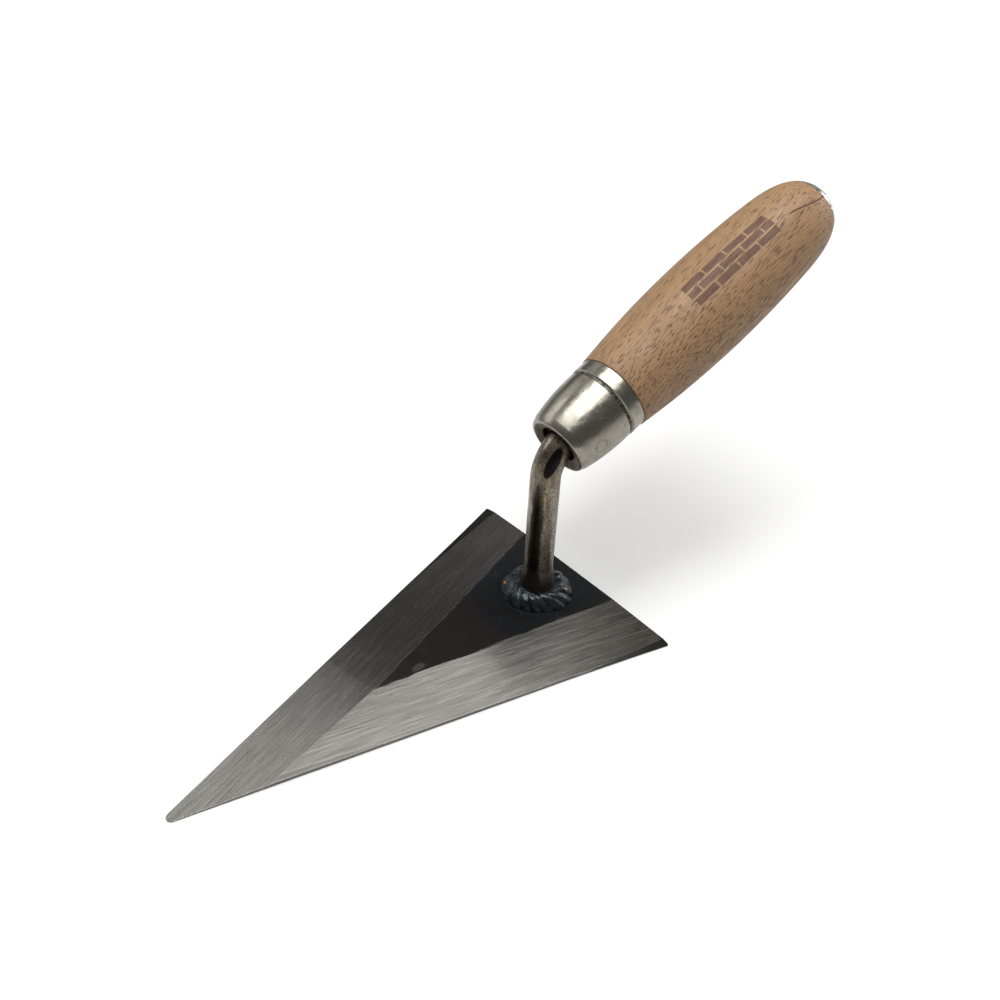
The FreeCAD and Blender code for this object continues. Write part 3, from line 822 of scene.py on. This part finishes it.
def neck_nickel():
    g = Graph("neck_nickel")
    tarnish = g.noise(g.stretched(g.mm, (1.0, 1.0, 0.22)), 0.5, 4.0)
    colour = g.colour(g.fade(tarnish, 0.35, 0.65), NICKEL_PALE, NICKEL_DULL)
    speck = g.fade(g.noise(g.mm, 2.3, 2.0), 0.53, 0.60)
    spread = g.fade(g.noise(g.mm, 0.22, 2.0), 0.30, 0.50, 0.35, 1.0)
    colour = g.colour(g.times(speck, spread), colour, SPECK_BROWN)
    # painted reflection: a dark streak down the neck's middle, below the bend, standing in for the dark
    # room the rod mirrors
    facing = g.plus(g.vector("DOT_PRODUCT", g.mm, REFLECTION_STREAK_WAY), tarnish)
    reflection_streak = g.times(g.fade(facing, 4.85, 5.2), g.fade(g.z, 54.0, 44.0))
    colour = g.colour(g.times(reflection_streak, 0.85), colour, REFLECTION_STREAK_BROWN)
    amber = g.plus(g.spot(*AMBER_SPOT), g.stain_ring(*AMBER_RING))
    colour = g.colour(g.times(amber, 0.5), colour, AMBER)
    # painted reflection: a dark grainy oblong on the bend's outside, where the rod mirrors the dark
    # ferrule
    bend_reflection = g.minus(g.spot(*BEND_REFLECTION_SPOT), g.times(speck, 0.3))
    colour = g.colour(g.fade(bend_reflection, 0.0, 0.8, 0.0, 0.95), colour, BEND_REFLECTION_BLACK)
    burnt = g.fade(g.plus(g.z, g.times(tarnish, 7.0)), BURNT_END, BURNT_FULL)
    colour = g.colour(burnt, colour, BURNT_BLACK)
    scorch = g.times(g.fade(g.z, 4.0, 9.0), g.fade(g.noise(g.mm, 0.8, 3.0), 0.62, 0.70))
    colour = g.colour(g.times(burnt, scorch), colour, SCORCH_RED)
    rough = g.level(burnt, g.fade(tarnish, 0.3, 0.7, 0.24, 0.42), 0.5)
    height = g.plus(g.noise(g.mm, 2.6, 3.0), g.times(g.noise(g.mm, 0.4, 2.0), 2.0))
    return g.surface(colour, g.level(burnt, 1.0, 0.6), rough, g.bump(height, 0.05 * MM))


# ---- ferrule ----
PLATE_PALE = (0.285, 0.268, 0.222)
PLATE_DULL = (0.225, 0.213, 0.180)
PATCH_BROWN = (0.13, 0.105, 0.07)
STAIN_BROWN = (0.10, 0.085, 0.06)
STAIN_RINGS = (((0.9, 12.5, 8.1), 2.2, 0.45), ((-1.2, 10.7, 1.5), 0.9, 0.35))
RUST_SPOT = (0.09, 0.06, 0.038)
FACE_BROWN = (0.075, 0.055, 0.038)
GROOVE_SHADE_BLACK = (0.03, 0.029, 0.032)
SCRATCH_TURN = math.radians(24)
SCRATCH_STRETCH = (3.5, 3.5, 0.08)


def ferrule_nickel():
    g = Graph("ferrule_nickel", on_handle=True)
    cloud = g.noise(g.mm, 0.16, 3.0, 0.5, 0.6)
    colour = g.colour(g.fade(cloud, 0.35, 0.68), PLATE_PALE, PLATE_DULL)
    patch = g.times(g.fade(g.noise(g.mm, 0.33, 3.0), 0.55, 0.70), g.fade(g.y, 3.0, -3.0))
    colour = g.colour(g.times(patch, 0.45), colour, PATCH_BROWN)
    rings = g.plus(*[g.stain_ring(*ring) for ring in STAIN_RINGS])
    colour = g.colour(g.times(rings, 0.4), colour, STAIN_BROWN)
    spots = g.fade(g.cells(g.mm, 0.22), 0.13, 0.07)
    colour = g.colour(g.times(spots, 0.5), colour, RUST_SPOT)
    off_axis = g.vector("LENGTH", g.stretched(g.mm, OFF_AXIS))
    face = g.times(g.fade(off_axis, 9.9, 9.3), g.fade(g.z, 2.5, 2.0))
    colour = g.colour(g.times(face, 0.7), colour, FACE_BROWN)
    # painted shade: the groove is painted near-black, broken by lighter scratch ticks
    groove = g.times(g.fade(g.z, 20.1, 20.5), g.fade(g.z, 21.5, 21.1))
    ticks = g.noise(g.stretched(g.mm, (2.5, 2.5, 0.2)), 1.0, 3.0)
    colour = g.colour(g.times(groove, g.fade(ticks, 0.45, 0.62, 1.0, 0.35)), colour, GROOVE_SHADE_BLACK)
    scratch_place = g.stretched(g.turned(g.mm, SCRATCH_TURN, "X_AXIS"), SCRATCH_STRETCH)
    scratch = g.fade(g.noise(scratch_place, 1.0, 2.0), 0.70, 0.76)
    rough = g.plus(g.fade(cloud, 0.3, 0.7, 0.23, 0.33), g.times(g.plus(scratch, groove), 0.3))
    rough = g.plus(rough, g.times(face, 0.2))
    dents = g.bump(g.noise(g.mm, 0.13, 2.0), 0.25 * MM)
    relief = g.bump(g.minus(g.noise(g.mm, 3.0, 3.0), scratch), 0.012 * MM, dents)
    return g.surface(colour, 1.0, rough, relief)


# ---- handle: the burnt mark, then the wood, in millimetres ----
MARK_S = 81.5
MARK_TURN = math.radians(17)
MARK_LENGTH, MARK_HEIGHT = 41.0, 9.6
MARK_ROWS, MARK_COLUMNS = 3, 4
MARK_JOINT = 0.75
MARK_SOFT = 0.15
EVEN = 8.0                              # added before a remainder or fraction, so it isn't negative


def burnt_mark(g, s, across):
    """A burnt pictogram of a brick wall in running bond: 1 on the bricks, 0 on joints and outside."""
    row_height, brick = MARK_HEIGHT / MARK_ROWS, MARK_LENGTH / MARK_COLUMNS
    half_length, half_height = MARK_LENGTH / 2, MARK_HEIGHT / 2
    up = g.plus(g.math("DIVIDE", across, row_height), MARK_ROWS / 2)
    shift = g.times(g.math("MODULO", g.plus(g.math("FLOOR", up), EVEN), 2.0), 0.5)
    along = g.plus(g.math("DIVIDE", g.minus(s, MARK_S - half_length), brick), shift)
    joint_up = edge_gap(g, g.math("FRACT", up), MARK_JOINT / row_height / 2)
    joint_along = edge_gap(g, g.math("FRACT", g.plus(along, EVEN)), MARK_JOINT / brick / 2)
    inside_up = g.fade(g.math("ABSOLUTE", across), half_height, half_height - MARK_SOFT)
    off_middle = g.math("ABSOLUTE", g.minus(s, MARK_S))
    inside_along = g.fade(off_middle, half_length, half_length - MARK_SOFT)
    return g.times(g.times(joint_up, joint_along), g.times(inside_up, inside_along))


def edge_gap(g, share, gap):
    """0 within gap of either end of a share from 0 to 1, and 1 between."""
    return g.fade(g.math("PINGPONG", share, 0.5), gap * 0.7, gap * 1.3)


BEECH_PALE = (0.290, 0.178, 0.090)
BEECH_DEEP = (0.242, 0.143, 0.071)
LATE_WOOD = (0.170, 0.088, 0.044)
FIBRE_BROWN = (0.155, 0.083, 0.043)
PORE_BROWN = (0.070, 0.030, 0.015)
CRACK_BROWN = (0.060, 0.028, 0.014)
BURN_BROWN = (0.080, 0.030, 0.013)
DIRT_BROWN = (0.14, 0.078, 0.044)
GRAIN_TURN = math.radians(-7)
PITH = (-4.0, 35.0, 0.0)
RINGS_PER_MM = 0.95
RING_CONE = (1.0, 1.0, 0.06)
FIBRE_STRETCH = (3.2, 3.2, 0.12)
PORE_STRETCH = (2.7, 2.7, 0.24)
WOOD_NICKS = (
    ((4.5, 16.0, 61.2), (1.6, 0.9, 0.28)),
    ((3.4, 16.3, 60.4), (0.9, 0.9, 0.25), 0.6),
)


def crack_share(g, turn):
    """1 on the drying crack and on the nick in the grip's side."""
    start, end = CRACK_FROM[0] / MM, CRACK_TO[0] / MM
    middle = g.fade(g.z, start, end, CRACK_FROM[1], CRACK_TO[1])
    away = g.times(g.math("ABSOLUTE", g.minus(turn, middle)), BUTT_R / MM)
    crack = g.times(g.fade(away, 0.5, 0.15), g.fade(g.z, start, start + 5))
    return g.plus(crack, g.plus(*[g.spot(*nick) for nick in WOOD_NICKS]))


def beech():
    g = Graph("beech", on_handle=True)
    grain = g.turned(g.mm, GRAIN_TURN, "X_AXIS")
    warp = g.noise(g.stretched(grain, (1.0, 1.0, 0.25)), 0.05, 2.0)
    from_pith = g.vector("LENGTH", g.stretched(g.vector("SUBTRACT", grain, PITH), RING_CONE))
    rings = g.math("FRACT", g.plus(g.times(from_pith, RINGS_PER_MM), g.times(warp, 3.0)))
    cloud = g.noise(g.stretched(grain, (1.0, 1.0, 0.10)), 0.3, 3.0)
    colour = g.colour(g.fade(cloud, 0.3, 0.7), BEECH_PALE, BEECH_DEEP)
    late = g.times(g.fade(rings, 0.55, 0.97), g.fade(g.y, 5.0, 15.0, 0.3, 0.75))
    colour = g.colour(late, colour, LATE_WOOD)
    fibre = g.noise(g.stretched(grain, FIBRE_STRETCH), 1.0, 3.0)
    colour = g.colour(g.fade(fibre, 0.35, 0.72, 0.0, 0.28), colour, FIBRE_BROWN)
    pore = g.noise(g.stretched(grain, PORE_STRETCH), 1.0, 0.0)
    pore = g.plus(pore, g.fade(g.y, 2.0, 15.0, 0.0, 0.035))
    pore = g.fade(g.plus(pore, g.times(rings, -0.04)), 0.635, 0.70)
    colour = g.colour(g.times(pore, 0.8), colour, PORE_BROWN)
    turn = g.math("ARCTAN2", g.y, g.x)
    colour = g.colour(g.times(crack_share(g, turn), 0.7), colour, CRACK_BROWN)
    mark = burnt_mark(g, g.z, g.times(g.minus(turn, MARK_TURN), GRIP_R / MM))
    colour = g.colour(g.times(mark, g.fade(fibre, 0.3, 0.75, 1.0, 0.8)), colour, BURN_BROWN)
    dirt = g.times(g.fade(g.plus(g.z, g.times(cloud, 5.0)), 34.0, 27.0), 0.2)
    colour = g.colour(dirt, colour, DIRT_BROWN)
    height = g.minus(g.times(fibre, 0.35), g.plus(pore, g.times(mark, 0.8)))
    g.shader.inputs["Specular IOR Level"].default_value = 0.35
    return g.surface(colour, 0.0, g.fade(cloud, 0.3, 0.7, 0.50, 0.62), g.bump(height, 0.09 * MM))


# ---- end cap ----
ZINC_PALE = (0.62, 0.64, 0.65)
ZINC_DULL = (0.46, 0.48, 0.50)
ZINC_GREY = (0.30, 0.30, 0.29)


def cap_zinc():
    g = Graph("cap_zinc", on_handle=True)
    around = g.noise(g.stretched(g.mm, (0.6, 0.6, 6.0)), 1.0, 3.0)
    colour = g.colour(g.fade(around, 0.3, 0.7), ZINC_PALE, ZINC_DULL)
    dull = g.fade(g.noise(g.mm, 0.5, 3.0), 0.4, 0.7)
    colour = g.colour(g.times(dull, 0.3), colour, ZINC_GREY)
    return g.surface(colour, 1.0, g.fade(dull, 0.0, 1.0, 0.22, 0.38), g.bump(around, 0.02 * MM))


# ---- floor, light and camera ----
FLOOR_HALF = 3.0
FLOOR_DROP = 0.05 * MM
FLOOR_DARK = (0.62, 0.62, 0.617)
FLOOR_LIGHT = (0.64, 0.64, 0.637)
SKY_STRENGTH = 0.17
LIGHTS = (
    # name, place, target, size, watts
    ("overhead", (-0.05, 0.05, 2.4), (-0.05, 0.0, 0.0), (2.2, 1.9), 96.0),
    ("window", (0.70, -1.60, 1.10), (0.0, 0.0, 0.05), (1.2, 1.0), 7.5),
    ("side_fill", (-0.05, -1.90, 1.35), (0.0, 0.0, 0.05), (1.1, 1.2), 3.2),
    ("rear_fill", (-2.10, 0.00, 2.10), (0.0, 0.0, 0.0), (1.9, 1.0), 8.0),
    ("low_back", (-1.50, 0.25, 0.45), (0.0, 0.0, 0.1), (0.9, 0.4), 6.0),
)
CAMERA_PLACE = Vector((0.20667, 0.18836, 0.26843))
CAMERA_AZIMUTH = math.radians(135.379)
CAMERA_ELEVATION = math.radians(39.073)
CAMERA_ROLL = math.radians(-3.834)
CAMERA_LENS = 39.6


def make_floor():
    bm = bmesh.new()
    bmesh.ops.create_grid(bm, x_segments=8, y_segments=8, size=FLOOR_HALF)
    floor = finish_mesh("floor", bm)
    floor.location.z = -FLOOR_DROP
    g = Graph("pale_floor")
    shade = g.colour(g.noise(g.mm, 0.02, 2.0), FLOOR_DARK, FLOOR_LIGHT)
    floor.data.materials.append(g.surface(shade, 0.0, 0.9, g.bump(g.noise(g.mm, 0.8), 0.02 * MM)))


def area_light(name, place, target, size, power):
    lamp = bpy.data.lights.new(name, "AREA")
    lamp.shape = "RECTANGLE"
    lamp.size, lamp.size_y = size
    lamp.energy = power
    light = bpy.data.objects.new(name, lamp)
    bpy.context.scene.collection.objects.link(light)
    light.location = place
    light.rotation_euler = (Vector(target) - Vector(place)).to_track_quat("-Z", "Y").to_euler()


def make_light():
    world = bpy.data.worlds.new("studio")
    bpy.context.scene.world = world
    world.use_nodes = True
    sky = world.node_tree.nodes["Background"]
    sky.inputs["Color"].default_value = (1.0, 1.0, 1.0, 1.0)
    sky.inputs["Strength"].default_value = SKY_STRENGTH
    for light in LIGHTS:
        area_light(*light)


def make_camera():
    a, e, roll = CAMERA_AZIMUTH, CAMERA_ELEVATION, CAMERA_ROLL
    forward = Vector((-math.sin(a) * math.cos(e), math.cos(a) * math.cos(e), -math.sin(e)))
    level = Vector((math.cos(a), math.sin(a), 0))
    down = forward.cross(level)
    right = level * math.cos(roll) + down * math.sin(roll)
    up = right.cross(forward)
    camera = bpy.data.objects.new("camera", bpy.data.cameras.new("camera"))
    bpy.context.scene.collection.objects.link(camera)
    camera.data.lens = CAMERA_LENS
    camera.data.clip_start = 0.01
    turn = Matrix((right, up, -forward)).transposed().to_4x4()
    camera.matrix_world = Matrix.Translation(CAMERA_PLACE) @ turn
    bpy.context.scene.camera = camera


# ---- the whole scene ----
PIECES = (
    # node, mesh, material, slot
    ("blade", make_blade, blade_steel, "blade_steel"),
    ("weld_bead", make_weld, weld_metal, "weld_metal"),
    ("neck", make_neck, neck_nickel, "neck_nickel"),
    ("ferrule", make_ferrule, ferrule_nickel, "ferrule_nickel"),
    ("handle", make_handle, beech, "beech"),
    ("end_cap", make_cap, cap_zinc, "cap_zinc"),
)
ON_HANDLE_NODES = ("ferrule", "handle", "end_cap")

make_camera()
make_light()
make_floor()
for node, make_piece, make_material, slot in PIECES:
    piece = make_piece()
    if node in ON_HANDLE_NODES:
        piece.data.transform(ON_HANDLE)
    piece.data.materials.clear()
    piece.data.materials.append(make_material())
    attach(piece, "root")
    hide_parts(node)
bpy.context.scene.view_settings.view_transform = "Standard"
